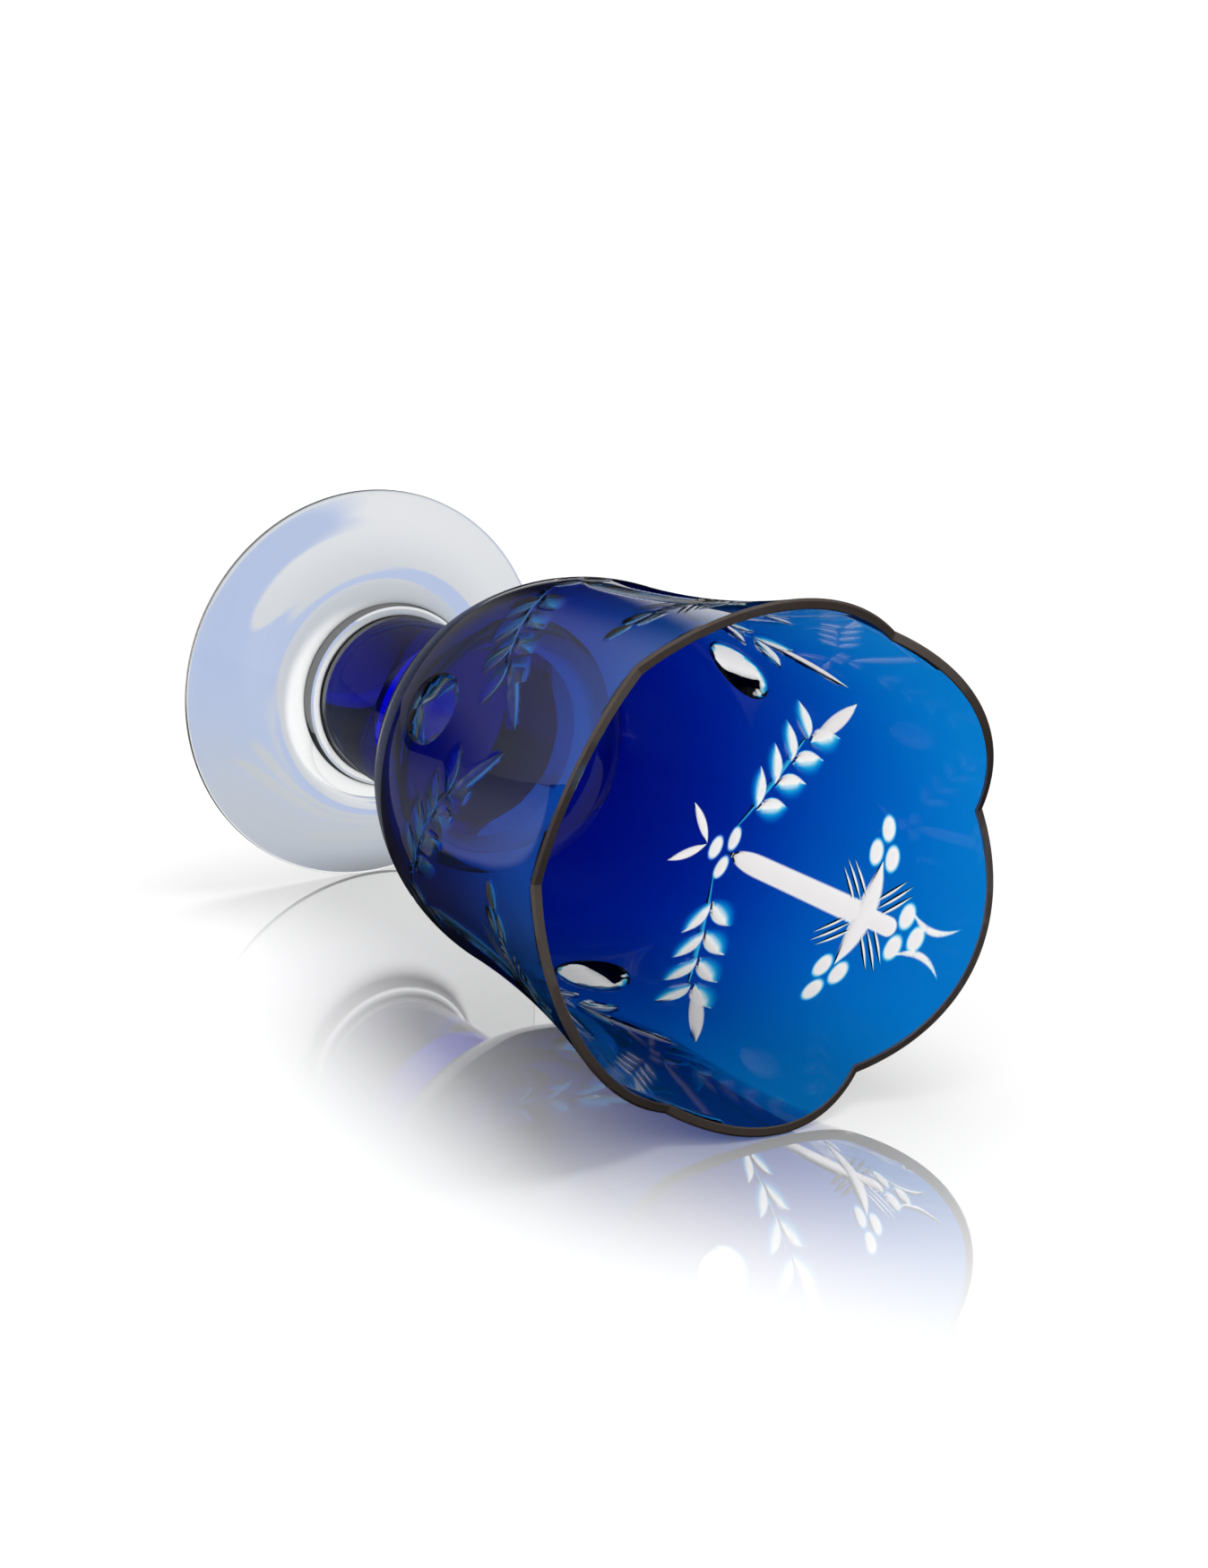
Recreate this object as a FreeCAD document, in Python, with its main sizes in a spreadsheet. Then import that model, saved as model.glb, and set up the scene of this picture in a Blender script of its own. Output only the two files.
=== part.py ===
"""Cut crystal vase: a flared tulip bowl of clear crystal under a cobalt skin, on a cobalt stem and a clear foot.

The frame: +Z runs up the axis of the vase, the origin is the centre of the resting ring under the foot,
and -Y looks at the middle of one cut flower.  All sizes are millimetres, all angles are degrees.
"""
import FreeCAD, Part
import math
import os
import re
import Sketcher

os.makedirs("parts", exist_ok=True)
doc = FreeCAD.newDocument("cut_crystal_vase")

# ------------------------------------------------------------------ driving dimensions

SIZES = [
    # the whole vase
    ("overall_height", 222.0, "foot to the top of the rim lobes"),
    ("mouth_radius", 66.0, "axis to the outside of the rim at a lobe"),
    # bowl wall, as two tangent arcs turned about the axis
    ("belly_arc", 70.0, "radius of the rounded lower wall"),
    ("belly_height", 129.5, "height of that arc's centre"),
    ("flare_arc", 440.0, "radius of the long hollow flare"),
    ("waist_height", 117.0, "height of that arc's centre"),
    ("wall", 2.6, "colour skin and crystal together"),
    ("skin", 0.7, "cobalt skin over the crystal"),
    ("floor_thickness", 10.0, "glass under the inside of the bowl"),
    ("floor_round", 12.0, "round between inside floor and wall"),
    # scalloped rim
    ("scallop_depth", 8.0, "lobe tip down to the notch"),
    ("flower_lobe_angle", 68.8, "width of a lobe over a flower, its neighbour takes the rest"),
    # stem and foot
    ("stem_radius", 24.0, "stem where the bowl sits on it"),
    ("stem_foot_radius", 23.7, "stem where it stands on the collar"),
    ("stem_swell_arc", 320.0, "radius of the slight swell along the stem"),
    ("collar_radius", 25.4, "clear collar where it lies on the foot"),
    ("collar_height", 4.0, "height of the collar"),
    ("collar_round", 4.5, "radius of its rounded side"),
    ("foot_radius", 57.0, "outside of the foot"),
    ("foot_edge", 1.8, "thickness of the foot at its edge"),
    ("foot_height", 18.5, "foot to the underside of the collar"),
    ("foot_neck_margin", 0.8, "ledge of the foot outside the collar"),
    ("foot_shoulder_radius", 32.0, "where the foot turns up to the collar"),
    ("foot_shoulder_height", 10.0, "height of that turn"),
    ("foot_dish_arc", 120.0, "radius of the hollow top of the foot"),
    ("foot_neck_arc", 11.0, "radius of the turn up to the collar"),
    ("foot_hollow_radius", 50.0, "inside of the resting ring"),
    ("foot_hollow_depth", 2.0, "rise of the hollow under the foot"),
    ("foot_hollow_arc", 626.0, "radius of that hollow"),
    # cut pattern, places measured round the wall and up the axis
    ("cut_depth", 1.4, "every cut, from the outside of the colour skin"),
    ("node_height", 124.0, "knot of buds from which the flower grows"),
    ("flower_height", 184.0, "middle of the cut flower"),
    ("rim_knot_height", 199.0, "knot of buds above the flower"),
    ("oval_height", 131.5, "middle of the large oval"),
    ("oval_width", 19.5, "large oval, across"),
    ("oval_length", 23.5, "large oval, along the axis"),
    ("stalk_width", 6.2, "broad stalk of the flower"),
    ("stalk_start", 5.0, "broad stalk, from the middle of the knot"),
    ("rim_petal_width", 4.96, "petal on the rim side of the flower, across"),
    ("lens_length", 31.0, "petal pair round the wall"),
    ("lens_width", 6.4, "petal pair, along the axis"),
    ("bud_length", 6.6, "bud, tip to tip"),
    ("bud_width", 4.0, "bud, across"),
    ("bud_gap", 0.6, "between two buds side by side"),
    ("knot_pair_rise", 2.8, "bud pair above the middle of the knot"),
    ("rim_pair_drop", 1.5, "bud pair below the middle of the rim knot"),
    ("knot_bud_drop", 3.2, "single bud below the middle of the knot"),
    ("rim_bud_rise", 3.3, "single bud above the middle of the rim knot"),
    ("end_bud_gap", 1.5, "tip of the petal pair to the middle of the buds beyond it"),
    ("ray_length", 14.0, "fine ray beside the flower"),
    ("ray_width", 0.9, "fine ray, across"),
    ("ray_spacing", 2.1, "one ray to the next"),
    ("ray_start", 3.5, "fine ray, from the middle of the flower"),
    ("ray_step", 1.2, "outer rays nearer the flower than the one between them"),
    ("spray_reach", 31.0, "spray stem, round the wall"),
    ("spray_rise", 26.0, "spray stem, up the axis"),
    ("spray_start", 8.2, "spray stem, first point from the meridian"),
    ("spray_lift", 3.5, "that point above the middle of the knot"),
    ("spray_turn", 0.22, "share of the rise that comes late, as the stem turns up"),
    ("spray_bow", 1.3, "spray stem, how far it bows towards the foot"),
    ("first_leaves", 0.16, "first pair of leaves, as a share of the spray stem"),
    ("last_leaves", 0.98, "last pair of leaves, as a share of the spray stem"),
    ("spray_width", 0.9, "spray stem, across"),
    ("leaf_width", 4.6, "leaf of the spray, across"),
    ("lower_leaf_length", 11.0, "leaf on the foot side of a spray"),
    ("upper_leaf_length", 14.5, "leaf on the rim side of a spray"),
    ("leaf_gap", 0.7, "leaf to spray stem"),
    ("leaf_splay", 29.0, "leaf away from the spray stem"),
    ("tip_leaf_length", 30.0, "last leaf of a spray"),
    ("tip_leaf_width", 4.4, "last leaf of a spray, across"),
    ("tip_leaf_turn", 16.0, "last leaf towards the rim, from the line of the stem"),
    ("calyx_length", 13.5, "slender leaf below the knot"),
    ("calyx_width", 2.8, "slender leaf, across"),
    ("calyx_splay", 44.0, "slender leaf away from the meridian"),
    ("crescent_length", 18.0, "curved leaf below the rim, tip to tip"),
    ("crescent_width", 1.9, "curved leaf, across"),
    ("crescent_bow", 4.2, "curved leaf, how far it bows"),
    ("crescent_aside", 7.6, "tips of a curved leaf, from the meridian"),
    ("crescent_drop", 2.0, "lower tip of a curved leaf below the rim knot"),
]

sheet = doc.addObject("Spreadsheet::Sheet", "size")
for row, (alias, number, note) in enumerate(SIZES, start=1):
    sheet.set(f"A{row}", note)
    sheet.set(f"B{row}", str(number))
    sheet.setAlias(f"B{row}", alias)
doc.recompute()


def s(text):
    """An expression in sheet names, with every name given its sheet."""
    return re.sub(r"\b(" + "|".join(alias for alias, _, _ in SIZES) + r")\b", r"size.\1", text)


def value(text):
    """The number that an expression in sheet names has now."""
    return float(sheet.evalExpression(s(text)))


FLOWERS = 3
FLOWER_TURN = 360.0 / FLOWERS
FIRST_FLOWER = -90.0

# ------------------------------------------------------------------ turned pieces


def arc_edge(start, end, radius, side):
    """The short arc of a radius between two points, bowed to the left (side 1) or right (-1) of the way."""
    chord = end - start
    middle = start + chord * 0.5
    left = FreeCAD.Vector(-chord.y, chord.x, 0).normalize()
    rise = math.sqrt(radius ** 2 - chord.Length ** 2 / 4)
    crown = middle + left * side * (radius - rise)
    return Part.Arc(start, crown, end)


def turned_body(name, outline):
    """A body turned about Z from a closed outline.

    Each station of the outline is (x, z, radius, side): its place, and the arc that leads to it from
    the station before.  A radius of None is a straight line.
    """
    body = doc.addObject("PartDesign::Body", name)
    planes = {feature.Role: feature for feature in body.Origin.OriginFeatures}
    sketch = body.newObject("Sketcher::SketchObject", name + "_outline")
    sketch.AttachmentSupport = [(planes["XZ_Plane"], "")]
    sketch.MapMode = "FlatFace"
    places = [FreeCAD.Vector(value(x), value(z), 0) for x, z, _, _ in outline]
    ends = []
    for index, (_, _, radius, side) in enumerate(outline):
        start, end = places[index - 1], places[index]
        if radius is None:
            edge = Part.LineSegment(start, end)
        else:
            edge = arc_edge(start, end, value(radius), side)
        geometry = sketch.addGeometry(edge, False)
        at_start = sketch.getPoint(geometry, 1).distanceToPoint(start) < 1e-6
        ends.append((geometry, 1 if at_start else 2, 2 if at_start else 1))
    for index, (x, z, radius, _) in enumerate(outline):
        geometry, _, end = ends[index]
        following, first, _ = ends[(index + 1) % len(ends)]
        sketch.addConstraint(Sketcher.Constraint("Coincident", geometry, end, following, first))
        for kind, text, axis in (("DistanceX", x, -2), ("DistanceY", z, -1)):
            if text == "0":
                sketch.addConstraint(Sketcher.Constraint("PointOnObject", geometry, end, axis))
            else:
                datum = Sketcher.Constraint(kind, -1, 1, geometry, end, value(text))
                sketch.setExpression(f"Constraints[{sketch.addConstraint(datum)}]", s(text))
        if radius is not None:
            datum = Sketcher.Constraint("Radius", geometry, value(radius))
            sketch.setExpression(f"Constraints[{sketch.addConstraint(datum)}]", s(radius))
    turn = body.newObject("PartDesign::Revolution", name + "_turned")
    turn.Profile = sketch
    turn.ReferenceAxis = (sketch, ["V_Axis"])
    turn.Angle = 360.0
    body.Tip = turn
    return body


# The wall's two arcs touch on the line of their centres, so the flare's centre follows from the mouth
# and the belly's centre from the flare.
FLARE_X = "(mouth_radius + sqrt(flare_arc^2 - (overall_height - waist_height)^2))"
BELLY_X = f"({FLARE_X} - sqrt((belly_arc + flare_arc)^2 - (belly_height - waist_height)^2))"
SEAT = f"(belly_height - sqrt(belly_arc^2 - (stem_radius - {BELLY_X})^2))"


def join_x(inset):
    """Where the belly and flare arcs touch, an inset inside the outer wall: distance from the axis."""
    return f"({BELLY_X} + ({FLARE_X} - {BELLY_X}) * (belly_arc - {inset}) / (belly_arc + flare_arc))"


def join_z(inset):
    """The height of that same point."""
    return f"(belly_height + (waist_height - belly_height) * (belly_arc - {inset}) / (belly_arc + flare_arc))"


def flare_x(inset, height):
    """The flare's distance from the axis at a height, an inset inside the outer wall."""
    return f"({FLARE_X} - sqrt((flare_arc + {inset})^2 - ({height} - waist_height)^2))"


def belly_x(inset, height):
    """The belly's distance from the axis at a height, an inset inside the outer wall."""
    return f"({BELLY_X} + sqrt((belly_arc - {inset})^2 - ({height} - belly_height)^2))"


def wall_stations(inset, upward):
    """The two arcs of the wall from the join to the mouth, or back, with their last point left out."""
    belly = f"belly_arc - {inset}"
    flare = f"flare_arc + {inset}"
    join = (join_x(inset), join_z(inset))
    mouth = (flare_x(inset, "overall_height"), "overall_height")
    if upward:
        return [(*join, belly, -1), (*mouth, flare, 1)]
    return [(*mouth, None, 0), (*join, flare, -1)]


SKIN_FLOOR = f"({SEAT} + skin)"
INSIDE_FLOOR = f"({SEAT} + floor_thickness)"
ROUND_Z = f"({INSIDE_FLOOR} + floor_round)"
ROUND_X = f"({BELLY_X} + sqrt((belly_arc - wall - floor_round)^2 - ({ROUND_Z} - belly_height)^2))"
ROUND_REACH = "(belly_arc - wall) / (belly_arc - wall - floor_round)"

casing_blank = turned_body("casing_blank", [
    ("0", SEAT, None, 0),
    ("stem_radius", SEAT, None, 0),
    *wall_stations("0", True),
    *wall_stations("skin", False),
    (belly_x("skin", SKIN_FLOOR), SKIN_FLOOR, "belly_arc - skin", 1),
    ("0", SKIN_FLOOR, None, 0),
])

crystal_blank = turned_body("crystal_blank", [
    ("0", SKIN_FLOOR, None, 0),
    (belly_x("skin", SKIN_FLOOR), SKIN_FLOOR, None, 0),
    *wall_stations("skin", True),
    *wall_stations("wall", False),
    (f"({BELLY_X} + ({ROUND_X} - {BELLY_X}) * {ROUND_REACH})",
     f"(belly_height + ({ROUND_Z} - belly_height) * {ROUND_REACH})", "belly_arc - wall", 1),
    (ROUND_X, INSIDE_FLOOR, "floor_round", 1),
    ("0", INSIDE_FLOOR, None, 0),
])

stem = turned_body("stem", [
    ("0", "foot_height + collar_height", None, 0),
    ("stem_foot_radius", "foot_height + collar_height", None, 0),
    ("stem_radius", SEAT, "stem_swell_arc", -1),
    ("0", SEAT, None, 0),
])

collar = turned_body("collar", [
    ("0", "foot_height", None, 0),
    ("collar_radius", "foot_height", None, 0),
    ("stem_foot_radius", "foot_height + collar_height", "collar_round", -1),
    ("0", "foot_height + collar_height", None, 0),
])

foot = turned_body("foot", [
    ("0", "foot_hollow_depth", None, 0),
    ("foot_hollow_radius", "0", "foot_hollow_arc", 1),
    ("foot_radius", "0", None, 0),
    ("foot_radius", "foot_edge", None, 0),
    ("foot_shoulder_radius", "foot_shoulder_height", "foot_dish_arc", 1),
    ("collar_radius + foot_neck_margin", "foot_height", "foot_neck_arc", 1),
    ("0", "foot_height", None, 0),
])
doc.recompute()

# ------------------------------------------------------------------ scalloped mouth

# Each lobe is ground to a round arc seen from outside: a sector of the mouth, less a wheel that lies
# along the sector's middle, is what the grinder takes away.
TRIM_MARGIN = 10.0
NOTCH_X = flare_x("0", "overall_height - scallop_depth")


def bound(kind, name, **sizes):
    """A Part primitive whose sizes are expressions in sheet names."""
    piece = doc.addObject(kind, name)
    for prop, text in sizes.items():
        piece.setExpression(prop, s(text))
    return piece


lobe_trims = []
for lobe in range(2 * FLOWERS):
    over_flower = lobe % 2 == 0
    opening = "flower_lobe_angle" if over_flower else f"({FLOWER_TURN} - flower_lobe_angle)"
    middle = FIRST_FLOWER + lobe * FLOWER_TURN / 2
    half_chord = f"({NOTCH_X} * sin({opening} / 2 * 1 deg))"
    wheel_radius = f"({half_chord}^2 + scallop_depth^2) / (2 * scallop_depth)"
    sector = bound("Part::Cylinder", f"lobe_sector_{lobe}", Radius=f"mouth_radius + {TRIM_MARGIN}",
                   Height=f"1.5 * scallop_depth + {TRIM_MARGIN}", Angle=opening)
    wheel = bound("Part::Cylinder", f"lobe_wheel_{lobe}", Radius=wheel_radius,
                  Height=f"mouth_radius + 2 * {TRIM_MARGIN}")
    doc.recompute()
    start = middle - value(opening) / 2
    sector.Placement = FreeCAD.Placement(
        FreeCAD.Vector(0, 0, value("overall_height - 1.5 * scallop_depth")),
        FreeCAD.Rotation(FreeCAD.Vector(0, 0, 1), start))
    lying = FreeCAD.Rotation(FreeCAD.Vector(0, 0, 1), middle).multiply(
        FreeCAD.Rotation(FreeCAD.Vector(0, 1, 0), 90))
    wheel.Placement = FreeCAD.Placement(
        FreeCAD.Vector(0, 0, value(f"overall_height - {wheel_radius}")), lying)
    trim = doc.addObject("Part::Cut", f"lobe_trim_{lobe}")
    trim.Base = sector
    trim.Tool = wheel
    lobe_trims.append(trim)
mouth_trim = doc.addObject("Part::MultiFuse", "mouth_trim")
mouth_trim.Shapes = lobe_trims

# ------------------------------------------------------------------ cut pattern

# A cut is a flat outline on the wall, carried straight through it along the radius.  Its place is
# (round, up): millimetres round the wall from the flower's meridian, and height above the foot.
PRISM_INSIDE = 5.0
PRISM_OUTSIDE = 6.0


def wall_radius(height):
    """The outside of the wall at a height."""
    if height > value(join_z("0")):
        return value(flare_x("0", str(height)))
    return value(belly_x("0", str(height)))


def on_wall(outline, place, lean, meridian):
    """Turn an outline drawn along X by its lean, stand it on the wall at its place, and carry it through."""
    around, height = place
    radius = wall_radius(height)
    azimuth = math.radians(meridian) + around / radius
    outward = FreeCAD.Vector(math.cos(azimuth), math.sin(azimuth), 0)
    sideways = FreeCAD.Vector(-math.sin(azimuth), math.cos(azimuth), 0)
    face = Part.Face(Part.Wire(outline))
    face.rotate(FreeCAD.Vector(0, 0, 0), FreeCAD.Vector(0, 0, 1), lean)
    frame = FreeCAD.Rotation(sideways, FreeCAD.Vector(0, 0, 1), outward, "XZY")
    face.Placement = FreeCAD.Placement(outward * (radius - PRISM_INSIDE) + FreeCAD.Vector(0, 0, height),
                                       frame).multiply(face.Placement)
    return face.extrude(outward * (PRISM_INSIDE + PRISM_OUTSIDE))


def pointed(length, width, bow=0.0):
    """A leaf with a point at each end, as two arcs.  A bow larger than half the width makes a crescent."""
    tips = [FreeCAD.Vector(-length / 2, 0, 0), FreeCAD.Vector(length / 2, 0, 0)]
    upper = Part.Arc(tips[0], FreeCAD.Vector(0, bow + width / 2, 0), tips[1])
    lower = Part.Arc(tips[1], FreeCAD.Vector(0, bow - width / 2, 0), tips[0])
    return [upper.toShape(), lower.toShape()]


def olive(length, width):
    """An oval, as the ellipse that a rounded wheel leaves."""
    long_way = length >= width
    ring = Part.Ellipse(FreeCAD.Vector(0, 0, 0), max(length, width) / 2, min(length, width) / 2)
    if not long_way:
        ring.rotate(FreeCAD.Placement(FreeCAD.Vector(0, 0, 0),
                                      FreeCAD.Rotation(FreeCAD.Vector(0, 0, 1), 90)))
    return [ring.toShape()]


def slot(length, width):
    """A straight groove with round ends."""
    straight = length / 2 - width / 2
    corners = [FreeCAD.Vector(x, y, 0) for x, y in
               ((-straight, -width / 2), (straight, -width / 2), (straight, width / 2), (-straight, width / 2))]
    return [Part.LineSegment(corners[0], corners[1]).toShape(),
            Part.Arc(corners[1], FreeCAD.Vector(length / 2, 0, 0), corners[2]).toShape(),
            Part.LineSegment(corners[2], corners[3]).toShape(),
            Part.Arc(corners[3], FreeCAD.Vector(-length / 2, 0, 0), corners[0]).toShape()]


LEAF_PAIRS = 4


def spray_point(share):
    """A point of the spray stem, which starts flat and turns up towards the rim."""
    around = value("spray_start") + share * value("spray_reach")
    late = value("spray_turn")
    rise = value("spray_rise") * ((1 - late) * share + late * share ** 2)
    return around, value("node_height") + value("spray_lift") + rise


def spray_cuts(side, meridian):
    """One spray: its stem, four pairs of leaves and the last leaf.  Side is 1 or -1 of the meridian."""
    cuts = []
    first, last = spray_point(0.0), spray_point(1.0)
    run = (last[0] - first[0], last[1] - first[1])
    slope = math.degrees(math.atan2(run[1], run[0]))
    middle = spray_point(0.5)

    def add(outline, place, lean):
        placed = lean if side > 0 else 180.0 - lean
        cuts.append(on_wall(outline, (side * place[0], place[1]), placed, meridian))

    add(pointed(math.hypot(*run), value("spray_width"), -value("spray_bow")), middle, slope)
    for pair in range(LEAF_PAIRS):
        share = value("first_leaves") + pair / (LEAF_PAIRS - 1) * (value("last_leaves") - value("first_leaves"))
        around, height = spray_point(share)
        for name, direction in (("lower_leaf_length", -1), ("upper_leaf_length", 1)):
            length = value(name)
            lean = slope + direction * value("leaf_splay")
            away = value("leaf_gap") + length / 2
            place = (around + away * math.cos(math.radians(lean)), height + away * math.sin(math.radians(lean)))
            add(pointed(length, value("leaf_width")), place, lean)
    tip_length = value("tip_leaf_length")
    tip_lean = slope + value("tip_leaf_turn")
    away = tip_length / 2 + value("leaf_gap")
    add(pointed(tip_length, value("tip_leaf_width")),
        (last[0] + away * math.cos(math.radians(tip_lean)), last[1] + away * math.sin(math.radians(tip_lean))),
        tip_lean)
    return cuts


def flower_cuts(meridian):
    """Everything that is cut for one flower, as one solid or group of solids."""
    node, centre, knot = value("node_height"), value("flower_height"), value("rim_knot_height")
    bud_length, bud_width = value("bud_length"), value("bud_width")
    lens = value("lens_length")
    cuts = []

    def add(outline, around, height, lean):
        cuts.append(on_wall(outline, (around, height), lean, meridian))

    stalk = centre - node - value("stalk_start")
    beside = (bud_width + value("bud_gap")) / 2
    apart = (bud_length + value("bud_gap")) / 2
    beyond = lens / 2 + value("end_bud_gap")
    add(slot(stalk, value("stalk_width")), 0, centre - stalk / 2, 90)
    add(pointed(lens, value("lens_width")), 0, centre, 0)
    petal = knot - centre - bud_length / 2
    add(slot(petal, value("rim_petal_width")), 0, centre + petal / 2, 90)
    for side in (-1, 1):
        add(olive(bud_length, bud_width), side * apart, node + value("knot_pair_rise"), 0)
        add(olive(bud_length, bud_width), side * apart, knot - value("rim_pair_drop"), 0)
        for step in (-1, 1):
            add(olive(bud_length, bud_width), side * beyond, centre + step * beside, 0)
        add(olive(bud_length, bud_width), side * (beyond + bud_length), centre, 0)
        calyx, splay = value("calyx_length"), math.radians(value("calyx_splay"))
        add(pointed(calyx, value("calyx_width")), side * calyx / 2 * math.sin(splay),
            node - bud_length - calyx / 2 * math.cos(splay), 270 + side * value("calyx_splay"))
        add(pointed(value("crescent_length"), value("crescent_width"), side * value("crescent_bow")),
            side * value("crescent_aside"),
            knot + value("crescent_length") / 2 - value("crescent_drop"), 90)
        for level in (-1, 1):
            diagonal = 45.0 if level == side else 135.0
            along = (side * math.cos(math.pi / 4), level * math.sin(math.pi / 4))
            across = (-along[1], along[0])
            for ray in (-1, 0, 1):
                away = value("ray_length") / 2 + value("ray_start") - value("ray_step") * abs(ray)
                shift = ray * value("ray_spacing")
                add(pointed(value("ray_length"), value("ray_width")),
                    along[0] * away + across[0] * shift, centre + along[1] * away + across[1] * shift, diagonal)
        cuts.extend(spray_cuts(side, meridian))
    add(olive(bud_length, bud_width), 0, node - value("knot_bud_drop"), 0)
    add(olive(bud_length, bud_width), 0, knot + value("rim_bud_rise"), 0)
    return cuts[0].multiFuse(cuts[1:])


first_flower = flower_cuts(FIRST_FLOWER)
pattern_shapes = []
for flower in range(FLOWERS):
    turned_flower = first_flower.copy()
    turned_flower.rotate(FreeCAD.Vector(0, 0, 0), FreeCAD.Vector(0, 0, 1), flower * FLOWER_TURN)
    pattern_shapes.append(turned_flower)
    oval = olive(value("oval_length"), value("oval_width"))
    oval_meridian = FIRST_FLOWER + (flower + 0.5) * FLOWER_TURN
    pattern_shapes.append(on_wall(oval, (0, value("oval_height")), 90, oval_meridian))
pattern = doc.addObject("Part::Feature", "cut_pattern")
pattern.Shape = Part.makeCompound(pattern_shapes)

# How deep the wheels reach: everything outside the wall's own curve, set in by the depth of cut.
REACH_X = f"(mouth_radius + {TRIM_MARGIN})"
cut_reach = turned_body("cut_reach", [
    (belly_x("cut_depth", SKIN_FLOOR), SKIN_FLOOR, None, 0),
    (REACH_X, SKIN_FLOOR, None, 0),
    (REACH_X, "overall_height", None, 0),
    *wall_stations("cut_depth", False),
    (belly_x("cut_depth", SKIN_FLOOR), SKIN_FLOOR, "belly_arc - cut_depth", 1),
][1:])
grooves = doc.addObject("Part::Common", "grooves")
grooves.Base = pattern
grooves.Tool = cut_reach

# ------------------------------------------------------------------ the two layers of the bowl


def ground_and_cut(name, blank, cuts):
    """A layer of the bowl: its turned blank, less the scallops of the mouth, less the wheel cuts."""
    scalloped = doc.addObject("Part::Cut", name + "_scalloped")
    scalloped.Base = blank
    scalloped.Tool = mouth_trim
    layer = doc.addObject("Part::Cut", name)
    layer.Base = scalloped
    layer.Tool = cuts
    return layer


bowl_crystal = ground_and_cut("bowl_crystal", crystal_blank, grooves)
bowl_casing = ground_and_cut("bowl_casing", casing_blank, pattern)
doc.recompute()

# ------------------------------------------------------------------ checks and export

for item in doc.Objects:
    if "Invalid" in item.State or "Error" in item.State:
        raise RuntimeError(f"{item.Label} could not be worked out: {item.State}")

PARTS = {"foot": foot, "collar": collar, "stem": stem, "bowl_crystal": bowl_crystal, "bowl_casing": bowl_casing}
for label, item in PARTS.items():
    item.Label = label
    shape = item.Shape
    if shape.isNull() or not shape.isValid() or not shape.Solids:
        raise RuntimeError(f"{label} is not a sound solid")
    shape.exportStep(os.path.join("parts", label + ".step"))
    print(f"{label}: {len(shape.Solids)} solid, {shape.Volume / 1000:.1f} cm3, top {shape.optimalBoundingBox(False).ZMax:.2f} mm")
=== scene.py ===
import math

import bmesh
import bpy
import numpy as np
from mathutils import Matrix, Vector
from mathutils.geometry import delaunay_2d_cdt


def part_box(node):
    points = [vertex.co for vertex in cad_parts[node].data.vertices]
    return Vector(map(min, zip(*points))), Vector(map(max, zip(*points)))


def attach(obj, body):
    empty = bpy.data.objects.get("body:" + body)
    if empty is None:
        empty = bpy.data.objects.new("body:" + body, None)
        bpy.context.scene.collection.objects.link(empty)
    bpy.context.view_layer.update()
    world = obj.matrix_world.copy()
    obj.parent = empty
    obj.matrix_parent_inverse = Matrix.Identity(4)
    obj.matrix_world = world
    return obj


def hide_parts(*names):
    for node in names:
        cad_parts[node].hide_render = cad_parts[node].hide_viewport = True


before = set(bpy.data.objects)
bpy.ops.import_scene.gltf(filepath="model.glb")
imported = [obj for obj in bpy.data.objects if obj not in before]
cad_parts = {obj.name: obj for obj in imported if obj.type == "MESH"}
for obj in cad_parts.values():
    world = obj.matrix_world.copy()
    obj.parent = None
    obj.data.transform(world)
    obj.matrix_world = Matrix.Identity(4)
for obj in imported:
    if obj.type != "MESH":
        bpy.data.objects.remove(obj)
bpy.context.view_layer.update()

# ---------------------------------------------------------------- foot
# A pressed and polished disc of clear crystal: a thin outer edge, a long hollow top that turns up to a
# neck under the stem, and a shallow hollow underneath, so that only a ground ring touches the table.

MM = 0.001


def arc(start, end, radius, side, count):
    """Points along the short arc of a radius from start to end, bowed to the left (1) or right (-1) of
    the way: the centre lies square to the chord's middle, and the angle runs evenly between the ends."""
    start, end = np.array(start, float), np.array(end, float)
    chord = end - start
    span = np.hypot(*chord)
    left = np.array([-chord[1], chord[0]]) / span
    centre = (start + end) / 2 - left * side * math.sqrt(radius ** 2 - span ** 2 / 4)
    first, last = (math.atan2(*(point - centre)[::-1]) for point in (start, end))
    turn = (last - first + math.pi) % (2 * math.pi) - math.pi
    angle = first + turn * np.linspace(0, 1, count)
    return centre + radius * np.stack([np.cos(angle), np.sin(angle)], axis=1)


def eased(profile, corners, ease, count=5):
    """A profile with the named corners softened: each corner gives way to a curve that leaves and meets
    the sides at the ease distance, a blend of the two ends and the corner by squares."""
    pieces, last = [], 0
    share = np.linspace(0, 1, count)[:, None]
    for corner in corners:
        here = profile[corner]
        before = profile[corner - 1] - here
        after = profile[corner + 1] - here
        start = here + before * min(ease / np.hypot(*before), 0.5)
        end = here + after * min(ease / np.hypot(*after), 0.5)
        curve = (1 - share) ** 2 * start + 2 * share * (1 - share) * here + share ** 2 * end
        pieces += [profile[last:corner], curve]
        last = corner + 1
    return np.concatenate(pieces + [profile[last:]])


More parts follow.
